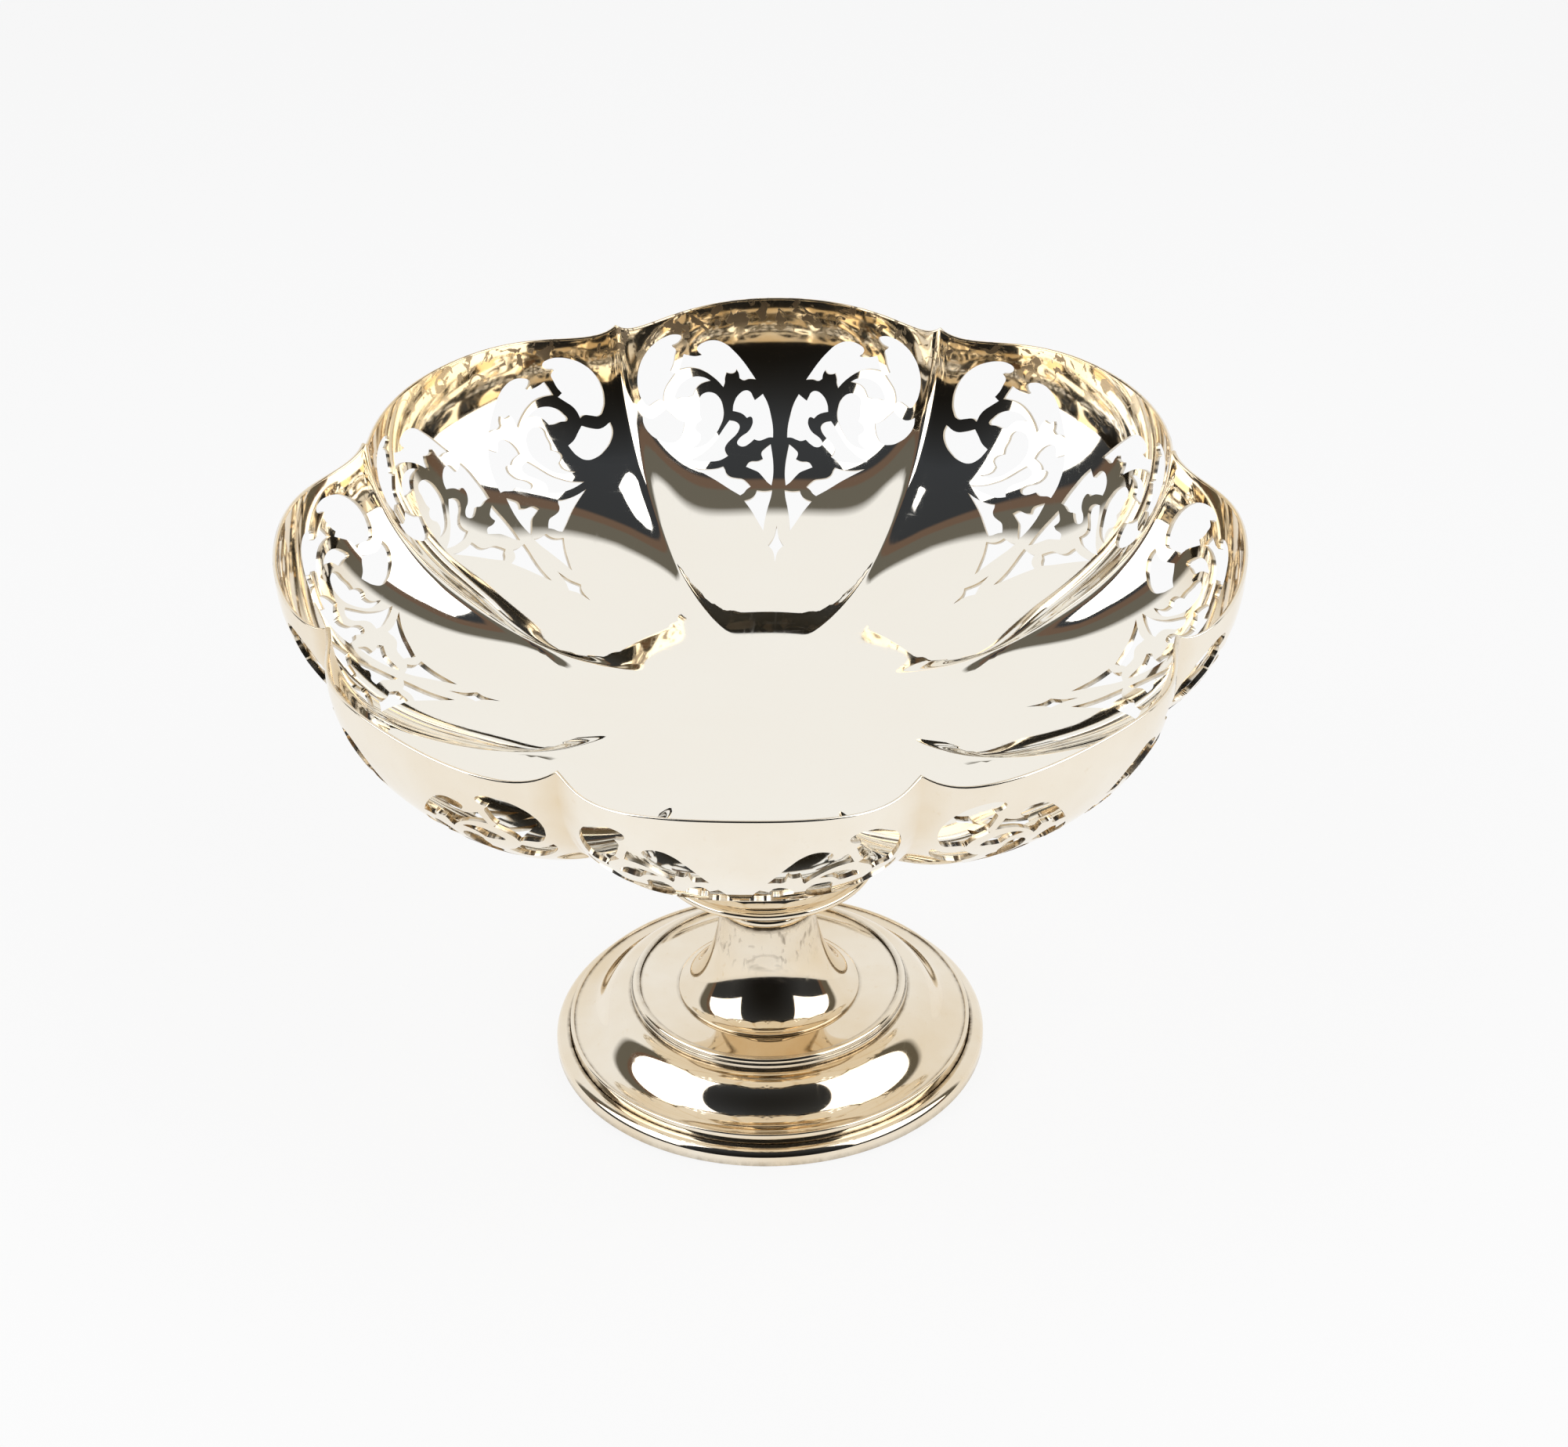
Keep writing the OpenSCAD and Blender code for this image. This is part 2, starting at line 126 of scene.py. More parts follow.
# Pierced scrolls on one side of a lobe's middle: share of the half lobe, degrees of the rise from the bottom
# (0) to the rim (90), and 1 at a sharp point
SCROLLS = {
    "outer_scroll": [
        (.575, 81.6), (.61, 83), (.665, 83.4), (.75, 82.2), (.815, 79.6), (.86, 76.2), (.885, 72.4),
        (.888, 68.4), (.87, 65.1), (.835, 63.1), (.79, 63.5), (.755, 63.8), (.726, 63, 1), (.718, 65),
        (.7, 66.8), (.663, 68.7), (.63, 70.3, 1), (.657, 71.4, 1), (.637, 73.2), (.622, 75.7), (.614, 77.7),
        (.635, 79.2, 1), (.593, 79.7)],
    "corner_leaf": [
        (.89, 60.9, 1), (.895, 58.4), (.869, 55.4), (.815, 52.7), (.748, 50.9), (.684, 50.6), (.64, 52.1),
        (.618, 54), (.607, 55.5, 1), (.65, 56.7), (.689, 58.8), (.722, 60.7, 1), (.774, 59.6),
        (.823, 59.2)],
    "top_leaf": [
        (.606, 71.1, 1), (.587, 73.7), (.569, 75.7, 1), (.532, 74.7), (.495, 74.1), (.462, 74.1, 1),
        (.483, 75.4), (.485, 76.8), (.449, 77.9), (.393, 78.1), (.33, 76.7), (.269, 73.6), (.216, 70.1),
        (.172, 66.7), (.15, 65, 1), (.192, 65.2), (.222, 64.9), (.246, 65.6, 1), (.25, 67.1),
        (.261, 68.2, 1), (.276, 67.3), (.297, 67.2), (.322, 67.6, 1), (.333, 66), (.335, 64.8),
        (.346, 63.5, 1), (.37, 65.1), (.406, 67), (.451, 68.9), (.505, 70.4), (.553, 71)],
    "crescent": [
        (.42, 65.9, 1), (.463, 67.3), (.527, 68), (.593, 67.1), (.636, 65), (.648, 62.8), (.61, 62.7),
        (.57, 62.3), (.534, 62.4, 1), (.518, 63.8), (.501, 64.8), (.475, 65.5)],
    "eye": [
        (.498, 61.3), (.471, 62.5), (.422, 62.5), (.377, 60.8), (.356, 57.8), (.359, 55), (.382, 52.8),
        (.417, 50.7), (.453, 49.1), (.498, 48.1), (.554, 47.7), (.59, 47.8, 1), (.527, 49.5),
        (.517, 51.2, 1), (.547, 52.8), (.537, 54.2), (.501, 55.2, 1), (.508, 56.8), (.501, 59.2)],
    "kidney": [
        (.297, 56.5, 1), (.288, 58.6), (.252, 61.1), (.213, 62), (.187, 61.6), (.171, 60.3),
        (.159, 59.1, 1), (.14, 59.7), (.109, 60.8, 1), (.081, 58.2), (.06, 54.7), (.047, 51.3),
        (.046, 48.8, 1), (.073, 48.8), (.107, 48.3), (.138, 48), (.169, 48.4, 1), (.206, 47.2), (.24, 46.6),
        (.27, 46.9), (.282, 47.6), (.275, 48.4), (.25, 49.4), (.211, 50.4), (.185, 51.8), (.175, 53.5),
        (.187, 54.6), (.211, 54.3, 1), (.238, 55.5), (.267, 56.1)],
    "tail": [
        (.322, 54, 1), (.28, 53.4), (.26, 52.3), (.265, 51.2), (.287, 49.9), (.319, 48.8), (.351, 47.6),
        (.366, 46.5), (.362, 45.3), (.349, 44.4, 1), (.387, 43.7), (.415, 43.4), (.47, 43.4), (.535, 43.7),
        (.616, 44.7, 1), (.539, 45.6), (.479, 47), (.432, 48.5), (.396, 50.2), (.36, 52.1)],
    "wing": [
        (.608, 42.6, 1), (.521, 41.6), (.432, 41.4), (.39, 41.7, 1), (.38, 40.9), (.372, 39.8),
        (.348, 38.9), (.306, 38.4), (.259, 38), (.229, 37.1), (.204, 36, 1), (.236, 35.3), (.257, 34.5),
        (.287, 33.9, 1), (.359, 35.6), (.454, 38.3), (.537, 40.6)],
    "stalk": [
        (.061, 47, 1), (.097, 45.9), (.123, 44.7), (.113, 43.1, 1), (.144, 42.6), (.205, 42.4),
        (.232, 41.2, 1), (.186, 40.4), (.148, 39.7), (.117, 38.5), (.079, 36.9), (.052, 36.2, 1),
        (.042, 38.6), (.042, 41.7), (.05, 44.3)],
    "dart": [
        (.046, 35, 1), (.055, 33.2), (.076, 30.8), (.098, 28), (.115, 25, 1), (.157, 27.1), (.204, 29.7),
        (.261, 32.5, 1), (.202, 33.1), (.173, 34), (.16, 35, 1), (.104, 34.8)],
    "lozenge": [
        (0, 26.2, 1), (.022, 23.6), (.071, 21.6, 1), (.022, 20.2), (0, 18, 1), (-.022, 20.2),
        (-.071, 21.6, 1), (-.022, 23.6)],
}


def length(name, description, millimetres):
    """A size that the user can change, in metres."""
    return bpy.props.FloatProperty(
        name=name, description=description, default=millimetres * MM, min=0, precision=5, unit="LENGTH")


def colour(name, description, rgb):
    """A colour that the user can change."""
    return bpy.props.FloatVectorProperty(
        name=name, description=description, default=rgb, min=0, max=1, size=3, subtype="COLOR")


def share(name, description, value, top=1.0):
    """A plain number that the user can change."""
    return bpy.props.FloatProperty(
        name=name, description=description, default=value, min=0, max=top, precision=3)


def angle(name, description, degrees):
    """An angle that the user can change."""
    return bpy.props.FloatProperty(
        name=name, description=description, default=math.radians(degrees), subtype="ANGLE")


class CompoteBowlSizes(bpy.types.PropertyGroup):
    """Sizes of the bowl."""

    rim_height: length(
        "Rim height", "Height of the rim's inward points above the table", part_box("bowl")[1].z / MM)
    lobe_radius: length("Lobe radius", "Inside radius of the rim in the middle of a lobe", 100)
    cusp_radius: length("Point radius", "Inside radius of the rim at the points between lobes", 92.6)
    depth: length("Depth", "Depth from the rim's points to the bottom", 43.8)
    rib_depth: length("Rib depth", "Depth at which the ribs would meet the axis", 41.5)
    wall: length("Sheet thickness", "Thickness of the sheet", 1)
    rib_start: length("Rib start", "Radius where the ribs begin to rise", 35)
    rib_full: length("Rib full", "Radius where the ribs are at their full height", 80)
    dip: length("Lobe dip", "How far a lobe's floor dips below the flat middle", 0.72)
    dip_start: length("Dip start", "Radius where the lobes' floors begin to dip", 27)
    dip_crease: length("Dip crease", "Radius of the crease where the lobes' floors turn up", 39.5)
    dip_end: length("Dip end", "Radius where the dip has run out", 66)
    dip_curl: length("Dip curl", "How much further out the dip lies along the ribs", 20)
    lobe_drop: length("Lobe drop", "Drop of the rim in the middle of a lobe", 1.2)
    shoulder_drop: length("Shoulder drop", "Further drop of the rim towards a lobe's shoulders", 4.4)
    edge_round: length("Edge round", "Rounding of the rim's edge", 0.3)
    lobes: bpy.props.IntProperty(name="Lobes", description="Number of lobes", default=8, min=3, max=16)


class CompoteStemSizes(bpy.types.PropertyGroup):
    """Sizes of the stem and the pieces on it."""

    socket_radius: length("Socket radius", "Radius of the plate under the bowl", 21)
    socket_edge: length("Socket edge", "Thickness of the plate under the bowl", 1.2)
    neck_radius: length("Neck radius", "Radius of the socket's neck", 9.6)
    neck_base: length("Neck base", "Radius of the socket where it stands on the collar", 11.6)
    collar_radius: length("Collar radius", "Radius of the collar's lip", 23.9)
    lip_height: length("Lip height", "Thickness of the collar's lip", 2)
    collar_height: length("Collar dome", "Height of the collar's dome above its lip", 4.6)
    collar_top: length("Collar top", "Radius of the flat on top of the collar", 13.4)
    cup_height: length("Cup height", "Height of the cup under the collar", 8.8)
    cup_base: length("Cup base", "Radius of the cup on the bead", 9.4)
    lip_reach: length("Lip reach", "How far the lip stands out from the cup", 1.6)
    bell_radius: length("Bell radius", "Radius of the bell at the bottom of the stem", 19.6)
    bell_edge: length("Bell edge", "Height of the edge that the bell stands on", 0.6)
    bell_wall: length("Bell wall", "Thickness of the bell", 1.5)
    waist_radius: length("Waist radius", "Radius of the stem's waist", 10.3)
    height: length("Stem height", "Height from the dish to the stem's shoulder", 21.8)
    shoulder: length("Shoulder", "Thickness of the stem's shoulder", 2.2)
    bead_radius: length("Bead radius", "Radius of the bead on the shoulder", 10.9)
    bead_height: length("Bead height", "Height of the bead", 3)
    tube_radius: length("Tube radius", "Radius of the tube that carries the upper pieces", 7)
    bore_radius: length("Bore radius", "Radius of the tube's bore", 5.6)
    tube_reach: length("Tube reach", "Length of the tube inside the socket", 8)
    fit: length("Clearance", "Clearance round the tube and the seats", 0.1)
    edge_round: length("Edge round", "Rounding of the turned edges", 0.22)


class CompoteFootSizes(bpy.types.PropertyGroup):
    """Sizes of the foot."""

    radius: length("Foot radius", "Radius of the foot's rim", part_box("foot_rim")[1].x / MM)
    rim_height: length("Rim height", "Height of the rim's lip", 3.7)
    seat_height: length("Seat height", "Height of the seat under the dome", 2.4)
    lip_width: length("Lip width", "Width of the rim's lip outside the dome", 3)
    toe_width: length("Toe width", "Width of the rim inside the dome", 0.4)
    rim_round: length("Rim round", "Rounding of the rim's top edge", 2.1)
    dome_height: length("Dome height", "Height of the foot's dome", 13)
    groove_height: length("Upright wall", "Height of the dome's upright wall above the lip", 1.5)
    dome_bead: length("Dome bead", "Radius of the small bead round the dome's lower edge", 0.45)
    dome_wall: length("Dome wall", "Thickness of the dome", 1.2)
    ledge_width: length("Ledge width", "Width of the ledge on top of the dome", 4.3)
    step_radius: length("Step radius", "Radius of the step ring", 30.1)
    step_height: length("Step height", "Height of the step ring", 2.5)
    step_width: length("Step width", "Width of the step ring", 1.9)
    step_ledge: length("Step ledge", "Width of the ledge between the ring's two steps", 0.4)
    dish_edge: length("Dish edge", "Height of the dish's edge on the ledge", 1.9)
    dish_floor: length("Dish floor", "Thickness of the dish under the bell", 0.9)
    dish_hole: length("Dish hole", "Radius of the hole in the dish", 13)


class CompoteFinish(bpy.types.PropertyGroup):
    """Colours and wear of the silver."""

    silver: colour("Silver", "Colour of clean, polished silver", (0.96, 0.925, 0.845))
    # The film and tarnish colours also paint shade in the turned pieces' corners and the warm reflection
    # under the bowl's rim.
    film: colour("Film and Reflection", "Colour of the thin yellow film on handled silver", (0.77, 0.605, 0.38))
    tarnish_and_shade: colour("Tarnish and Shade", "Colour of the dark tarnish in grooves and cut edges", (0.10, 0.07, 0.045))
    bowl_film: share("Film on the bowl", "How much film lies on the bowl", 0.18)
    stem_film: share("Film on the stem", "How much film lies on the stem", 0.8)
    foot_film: share("Film on the foot", "How much film lies on the foot", 0.63)
    polish: share("Polish roughness", "Roughness of the polished faces", 0.035)


class CompoteStage(bpy.types.PropertyGroup):
    """Floor, lamps and camera."""

    floor: colour("Floor", "Colour of the floor", (0.90, 0.905, 0.92))
    floor_glow: colour("Floor glow", "Colour that the floor is lifted to", (1.0, 1.0, 1.0))
    room_front: colour(
        "Room in front", "Colour of the dim room on the camera's side", (0.010, 0.0098, 0.0095))
    room_top: colour("Room above", "Colour of the dim room overhead", (0.040, 0.044, 0.051))
    room_side: colour("Room at the sides", "Colour of the dim room at the sides", (0.038, 0.041, 0.046))
    room_curtain: colour("Curtain", "Colour of the brown strip behind the soft boxes", (0.150, 0.100, 0.072))
    room_wall: colour("Side wall", "Colour of the wall next to the backdrop", (0.135, 0.125, 0.102))
    backdrop: colour("Backdrop", "Colour of the pale backdrop behind", (0.925, 0.925, 0.925))
    lamp_brightness: share("Lamp brightness", "Brightness of the soft boxes", 2.4, 20)
    azimuth: angle("Camera azimuth", "Turn of the camera about the object", 3.1)
    elevation: angle("Camera elevation", "Camera's angle above the table", 34.22)
    roll: angle("Camera roll", "Turn of the picture", -1.1)
    distance: length("Camera distance", "Distance from the camera to its target", 1242.5)
    target_side: length("Target side", "Sideways place of the camera's target", 4.35)
    target_height: length("Target height", "Height of the camera's target", 82.45)
    focal_pixels: share("Focal length", "Focal length in pixels of the full picture", 7500, 20000)


# Meshes and pieces


def new_mesh(bm, name):
    """A new mesh of a bmesh, which is then freed."""
    mesh = bpy.data.meshes.new(name)
    bm.to_mesh(mesh)
    bm.free()
    return mesh


def move_verts(bm, geom, by):
    """Moves the vertices among some geometry."""
    bmesh.ops.translate(bm, vec=by, verts=[g for g in geom if isinstance(g, bmesh.types.BMVert)])


def read_values(items, key, count, kind=np.float32):
    """Values of one property over a mesh's points, faces or corners."""
    values = np.empty(count, kind)
    items.foreach_get(key, values)
    return values


def finish_mesh(name, mesh, material, node):
    """Links a finished mesh as a piece that stands for a CAD node."""
    piece = bpy.data.objects.new(name, mesh)
    bpy.context.scene.collection.objects.link(piece)
    mesh.materials.append(material)
    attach(piece, "root")
    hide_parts(node)
    return piece


# Turning


def bezier(p0, p1, p2, p3, steps=CURVE_STEPS):
    """Points of a cubic curve, both ends included."""
    t = np.linspace(0, 1, steps + 1)[:, None]
    u = 1 - t
    weights = (u**3, 3 * u * u * t, 3 * u * t * t, t**3)
    points = sum(w * np.array(p) for w, p in zip(weights, (p0, p1, p2, p3)))
    return [tuple(p) for p in points]


def arc(centre, radius, start, end, steps):
    """Points of an arc, angles in degrees."""
    turns = np.radians(np.linspace(start, end, steps + 1))
    return [(centre[0] + radius * math.cos(a), centre[1] + radius * math.sin(a)) for a in turns]


def is_corner(v, edge_round):
    """Whether a point of a profile turns enough to be rounded and has room for it."""
    a, b = (e.other_vert(v).co - v.co for e in v.link_edges)
    return a.angle(-b) > CORNER_TURN and min(a.length, b.length) > CORNER_ROOM * edge_round


def turned_mesh(name, edge_round, profile, corner_tarnish_and_shade, satin=None):
    """Spins a closed profile of (radius, height) points about +Z, with its corners rounded.
    Each darkened corner is (radius, height, reach, depth): within its reach the metal takes tarnish and
    painted shade.
    Satin is (low, high, fade): the heights between which the metal is brushed."""
    bm = bmesh.new()
    tarnish_and_shade = bm.verts.layers.float.new("crevice_tarnish_and_shade")
    brushed = bm.verts.layers.float.new("satin")
    ring = [bm.verts.new((r, 0, z)) for r, z in profile]
    for a, b in zip(ring, ring[1:] + ring[:1]):
        bm.edges.new((a, b))
    bmesh.ops.remove_doubles(bm, verts=bm.verts[:], dist=MERGE)
    corners = [v for v in bm.verts if is_corner(v, edge_round)]
    bmesh.ops.bevel(bm, geom=corners, offset=edge_round, offset_type="OFFSET", segments=CORNER_STEPS,
                    profile=0.5, affect="VERTICES", material=-1, clamp_overlap=True)
    for v in bm.verts:
        for r, z, reach, depth in corner_tarnish_and_shade:
            gap = math.hypot(v.co.x - r, v.co.z - z) / reach
            v[tarnish_and_shade] = max(v[tarnish_and_shade], depth * max(0.0, 1 - gap))
        if satin:
            low, high, fade = satin
            v[brushed] = max(0.0, min(1.0, (v.co.z - low) / fade, (high - v.co.z) / fade))
    bmesh.ops.spin(bm, geom=bm.verts[:] + bm.edges[:], cent=(0, 0, 0), axis=(0, 0, 1), angle=math.tau,
                   steps=SPIN_STEPS, use_merge=True)
    bmesh.ops.remove_doubles(bm, verts=bm.verts[:], dist=MERGE)
    bmesh.ops.recalc_face_normals(bm, faces=bm.faces[:])
    for f in bm.faces:
        f.smooth = True
    return new_mesh(bm, name)


def turned_pieces(scene, slot, pieces):
    """Turned pieces of one finish, with even shading over their flats."""
    for name, node, shape in pieces:
        mesh = turned_mesh(name, scene.compote_stem.edge_round, *shape)
        piece = finish_mesh(name, mesh, silver(scene, slot), node)
        shading = piece.modifiers.new("even_shading", "WEIGHTED_NORMAL")
        shading.mode = "FACE_AREA"
        shading.weight = EVEN_SHADING_WEIGHT


# Shapes of the turned pieces: the profile, its corners of tarnish and painted shade and, on the stem, its
# brushed band


def seats(scene):
    """Sizes of the stem and the foot, with the heights and radii at which their pieces meet."""
    stem, foot = scene.compote_stem, scene.compote_foot
    dish = foot.dome_height + foot.dish_floor
    shoulder = dish + stem.height
    cup = shoulder + stem.bead_height
    lip = cup + stem.cup_height
    socket = lip + stem.lip_height + stem.collar_height
    return SimpleNamespace(
        stem=stem, foot=foot, dish=dish, shoulder=shoulder, cup=cup, lip=lip, socket=socket,
        tube=socket + stem.tube_reach, flat=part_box("socket")[1].z, sleeve=stem.tube_radius + stem.fit,
        dome=foot.radius - foot.lip_width - stem.fit, ledge=foot.step_radius + stem.fit)


def socket_profile(at):
    """A neck that widens to the plate under the bowl, bored for the stem's tube."""
    s, plate, stop = at.stem, at.flat - at.stem.socket_edge, at.tube + at.stem.fit
    low, high = (at.socket + (plate - at.socket) * pull for pull in NECK_PULLS)
    neck = bezier((s.neck_base, at.socket), (s.neck_radius, low), (s.neck_radius, high),
                  (s.socket_radius, plate))
    profile = [(at.sleeve, at.socket), *neck, (s.socket_radius, at.flat), (s.bore_radius, at.flat),
               (s.bore_radius, stop), (at.sleeve, stop)]
    return profile, [(s.neck_base, at.socket, 1.5 * MM, 0.9), (s.socket_radius, at.flat, 2 * MM, 0.8)]


def collar_profile(at):
    """A domed disc with a round lip."""
    s, half = at.stem, at.stem.lip_height / 2
    foot, base = s.collar_radius - s.lip_height, at.lip + half
    first, second = (foot - (foot - s.collar_top) * pull for pull in COLLAR_PULLS)
    lip = arc((s.collar_radius - half, base), half, -90, 180, LIP_STEPS)
    dome = bezier((foot, base), (first, base), (second, at.socket), (s.collar_top, at.socket))
    profile = [(at.sleeve, at.lip), *lip, *dome, (at.sleeve, at.socket)]
    # The second point darkens the underside of the lip with painted shade as well as tarnish.
    return profile, [(foot, base, 0.7 * MM, 0.8), (s.collar_radius - s.lip_reach, at.lip, 1.2 * MM, 0.9)]


def cup_profile(at):
    """A flare from the bead out to the collar's lip."""
    s, edge = at.stem, at.stem.collar_radius - at.stem.lip_reach
    across, up = CUP_PULL_HIGH
    side = bezier((s.cup_base, at.cup), (s.cup_base, at.cup + s.cup_height * CUP_PULL_LOW),
                  (s.cup_base + (edge - s.cup_base) * across, at.cup + s.cup_height * up), (edge, at.lip))
    profile = [(at.sleeve, at.cup), *side, (at.sleeve, at.lip)]
    return profile, [(s.cup_base, at.cup, 1.2 * MM, 0.9), (edge, at.lip, 1.5 * MM, 0.9)]


def bead_profile(at):
    """A half-round ring on the stem's shoulder."""
    half = at.stem.bead_height / 2
    middle = at.stem.bead_radius - half
    ring = arc((middle, at.shoulder + half), half, -90, 90, BEAD_STEPS)
    profile = [(at.sleeve, at.shoulder), *ring, (at.sleeve, at.cup)]
    return profile, [(middle, at.shoulder, 1.4 * MM, 0.9), (middle, at.cup, 1.4 * MM, 0.9)]


def bell_curve(r, low, end, high):
    """The bell from its edge in and up to the waist."""
    across, up = (r - end) * BELL_PULLS[0], (high - low) * BELL_PULLS[1]
    return bezier((r, low), (r - across, low), (end, low + up), (end, high), BELL_STEPS)


def stem_profile(at):
    """A bell and waist, hollow from below, with the tube that carries the upper pieces."""
    s, roof = at.stem, at.shoulder - at.stem.shoulder
    outside = bell_curve(s.bell_radius, at.dish + s.bell_edge, s.waist_radius, at.shoulder)
    hollow = bell_curve(s.bell_radius - s.bell_wall, at.dish, s.waist_radius - s.bell_wall, roof)
    profile = [(s.bell_radius, at.dish), *outside, (s.tube_radius, at.shoulder), (s.tube_radius, at.tube),
               (s.bore_radius, at.tube), (s.bore_radius, roof), *reversed(hollow)]
    corner_tarnish_and_shade = [(s.bell_radius, at.dish, 0.6 * MM, 0.3), (s.waist_radius, at.shoulder, 0.9 * MM, 0.8)]
    return profile, corner_tarnish_and_shade, (at.dish + s.height * SATIN_START_SHARE, at.shoulder + SATIN_PAST, SATIN_FADE)


def dish_profile(at):
    """A dished plate from the step ring in to the bell's seat."""
    f, top, radius = at.foot, at.foot.dome_height, at.foot.step_radius - at.foot.step_width - at.stem.fit
    edge = np.array([radius, top + f.dish_edge])
    seat = np.array([at.stem.bell_radius + at.stem.fit, at.dish])
    fall = seat - edge
    slope = bezier(edge, edge + fall * DISH_PULLS[0], seat - fall * DISH_PULLS[1], seat)
    profile = [(radius, top), *slope, (f.dish_hole, at.dish), (f.dish_hole, top)]
    return profile, [(*seat, 0.7 * MM, 0.3), (*edge, 0.6 * MM, 0.6)]


def step_ring_profile(at):
    """A ring with two small steps outside."""
    f, base, top = at.foot, at.foot.dome_height, at.foot.dome_height + at.foot.step_height
    inside, ledge, crown = (f.step_radius - inset for inset in (f.step_width, f.step_ledge, 2 * f.step_ledge))
    low, high = (base + f.step_height * part for part in STEP_SHARES)
    profile = [(inside, base), (f.step_radius, base), (f.step_radius, low), (ledge, low), (ledge, high),
               (crown, top), (inside, top)]
    return profile, [(f.step_radius, base, 0.7 * MM, 0.7), (ledge, low, 0.4 * MM, 0.6),
                     (inside, top, 0.5 * MM, 0.5)]


def dome_curve(r, low, end, high):
    """The dome from its lower edge in and up to the ledge."""
    across, back = ((r - end) * pull for pull in DOME_PULLS)
    return bezier((r, low), (r - across, low), (end + back, high), (end, high), DOME_STEPS)


def dome_profile(at):
    """A wide convex ring, hollow below, with a small bead round its lower edge and a ledge on top."""
    f, top, roof = at.foot, at.foot.dome_height, at.foot.dome_height - at.foot.dome_wall
    low = f.rim_height + f.groove_height + f.dome_bead
    under, wall, ledge_in = low - f.dome_wall, at.dome - f.dome_wall, at.ledge - f.ledge_width
    valley, skin = at.dome - 2 * f.dome_bead, DOME_SKIN_SHARE * f.dome_wall
    bead = arc((at.dome - f.dome_bead, low), f.dome_bead, 0, 180, DOME_BEAD_STEPS)
    hollow = dome_curve(valley - skin, under, at.ledge - skin, roof)
    profile = [(at.dome, f.seat_height), *bead, *dome_curve(valley, low, at.ledge, top), (ledge_in, top),
               (ledge_in, roof), *reversed(hollow), (wall, under), (wall, f.seat_height)]
    return profile, [(at.dome, f.rim_height, 1.1 * MM, 1), (valley, low, 0.5 * MM, 0.7),
                     (at.ledge, top, 0.6 * MM, 0.5)]


def rim_profile(at):
    """The moulded ring that the foot stands on, with a seat for the dome."""
    f, lip, inside = at.foot, at.dome + at.stem.fit, at.dome - at.foot.dome_wall - at.foot.toe_width
    shoulder = arc((f.radius - f.rim_round, f.rim_height - f.rim_round), f.rim_round, 0, 90, RIM_STEPS)
    profile = [(inside, 0), (f.radius, 0), *shoulder, (lip, f.rim_height), (lip, f.seat_height),
               (inside, f.seat_height)]
    # The second point darkens the rim's lower edge where it meets the floor: painted shade of the contact
    # shadow.
    return profile, [(lip, f.rim_height, 0.7 * MM, 1), (f.radius, 0, 0.6 * MM, 0.6)]


# Bowl


def smooth_step(x):
    """A share eased at both ends and held between 0 and 1."""
    c = np.clip(x, 0, 1)
    return c * c * (3 - 2 * c)


def lobe_side(t):
    """Signed share of the half lobe: 0 in a lobe's middle, 1 or -1 at its ribs."""
    return t - 2 * np.round(t / 2)


def lobe_dip(size, r):
    """Share of the dip at a radius: deepest at the crease where a lobe leaves the flat middle."""
    start, crease, end = size.dip_start, size.dip_crease, size.dip_end
    inner = np.clip((r - start) / (crease - start), 0, 1) ** DIP_POWER_IN
    outer = np.clip((end - r) / (end - crease), 0, 1) ** DIP_POWER_OUT
    return np.where(r < crease, inner, outer)


def sheet_points(size, t, p, out):
    """Places on the bowl's sheet. t is the share of the half lobe counted on from lobe to lobe, p the share
    of the rise, out the distance outside the inner face."""
    near = lobe_side(t)
    s = np.sqrt(np.sin(np.radians(90 * p)))
    plain_r = s * size.lobe_radius
    gap = 1 - np.abs(near)
    dulled = np.sqrt(gap**2 + RIB_ROUND_SHARE**2) - RIB_ROUND_SHARE
    low, high = RIB_POWER_RISES
    power = RIB_POWER + (RIB_POWER_LOW - RIB_POWER) * (1 - smooth_step((p - low) / (high - low)))
    rib = np.maximum(0, 1 - dulled) ** power
    w = rib * smooth_step((plain_r - size.rib_start) / (size.rib_full - size.rib_start))
    k = np.maximum(0, (p - DROP_START_SHARE) / (1 - DROP_START_SHARE))
    drop = (size.lobe_drop + size.shoulder_drop * near**2) * (1 - near**DROP_FADE_POWER) * k * k
    curl = size.dip_curl * near**DIP_CURL_POWER
    dip = size.dip * lobe_dip(size, plain_r - curl) * (1 - near**DIP_FADE_POWER)
    depth = size.depth + out + w * (size.rib_depth - size.depth)
    r = s * (size.lobe_radius + out + w * (size.cusp_radius - size.lobe_radius))
    z = size.rim_height - np.cos(np.radians(90 * p)) * depth - drop - dip
    a = t * math.pi / size.lobes
    return np.stack([r * np.cos(a), r * np.sin(a), z], -1)


def sheet_normals(size, t, p, out):
    """Directions square to the sheet, pointing outside the bowl."""
    held = np.maximum(p, POLE_SHARE)
    low, high = np.maximum(p - PROBE_SHARE, POLE_SHARE), np.minimum(p + PROBE_SHARE, 1)
    along = sheet_points(size, t + PROBE_SHARE, held, out) - sheet_points(size, t - PROBE_SHARE, held, out)
    up = sheet_points(size, t, high, out) - sheet_points(size, t, low, out)
    n = np.cross(along, up)
    return n / np.linalg.norm(n, axis=1)[:, None]


def evaluated_mesh(piece):
    """A mesh of an object with its modifiers or curve settings taken in."""
    bpy.context.view_layer.update()
    return bpy.data.meshes.new_from_object(piece.evaluated_get(bpy.context.evaluated_depsgraph_get()))


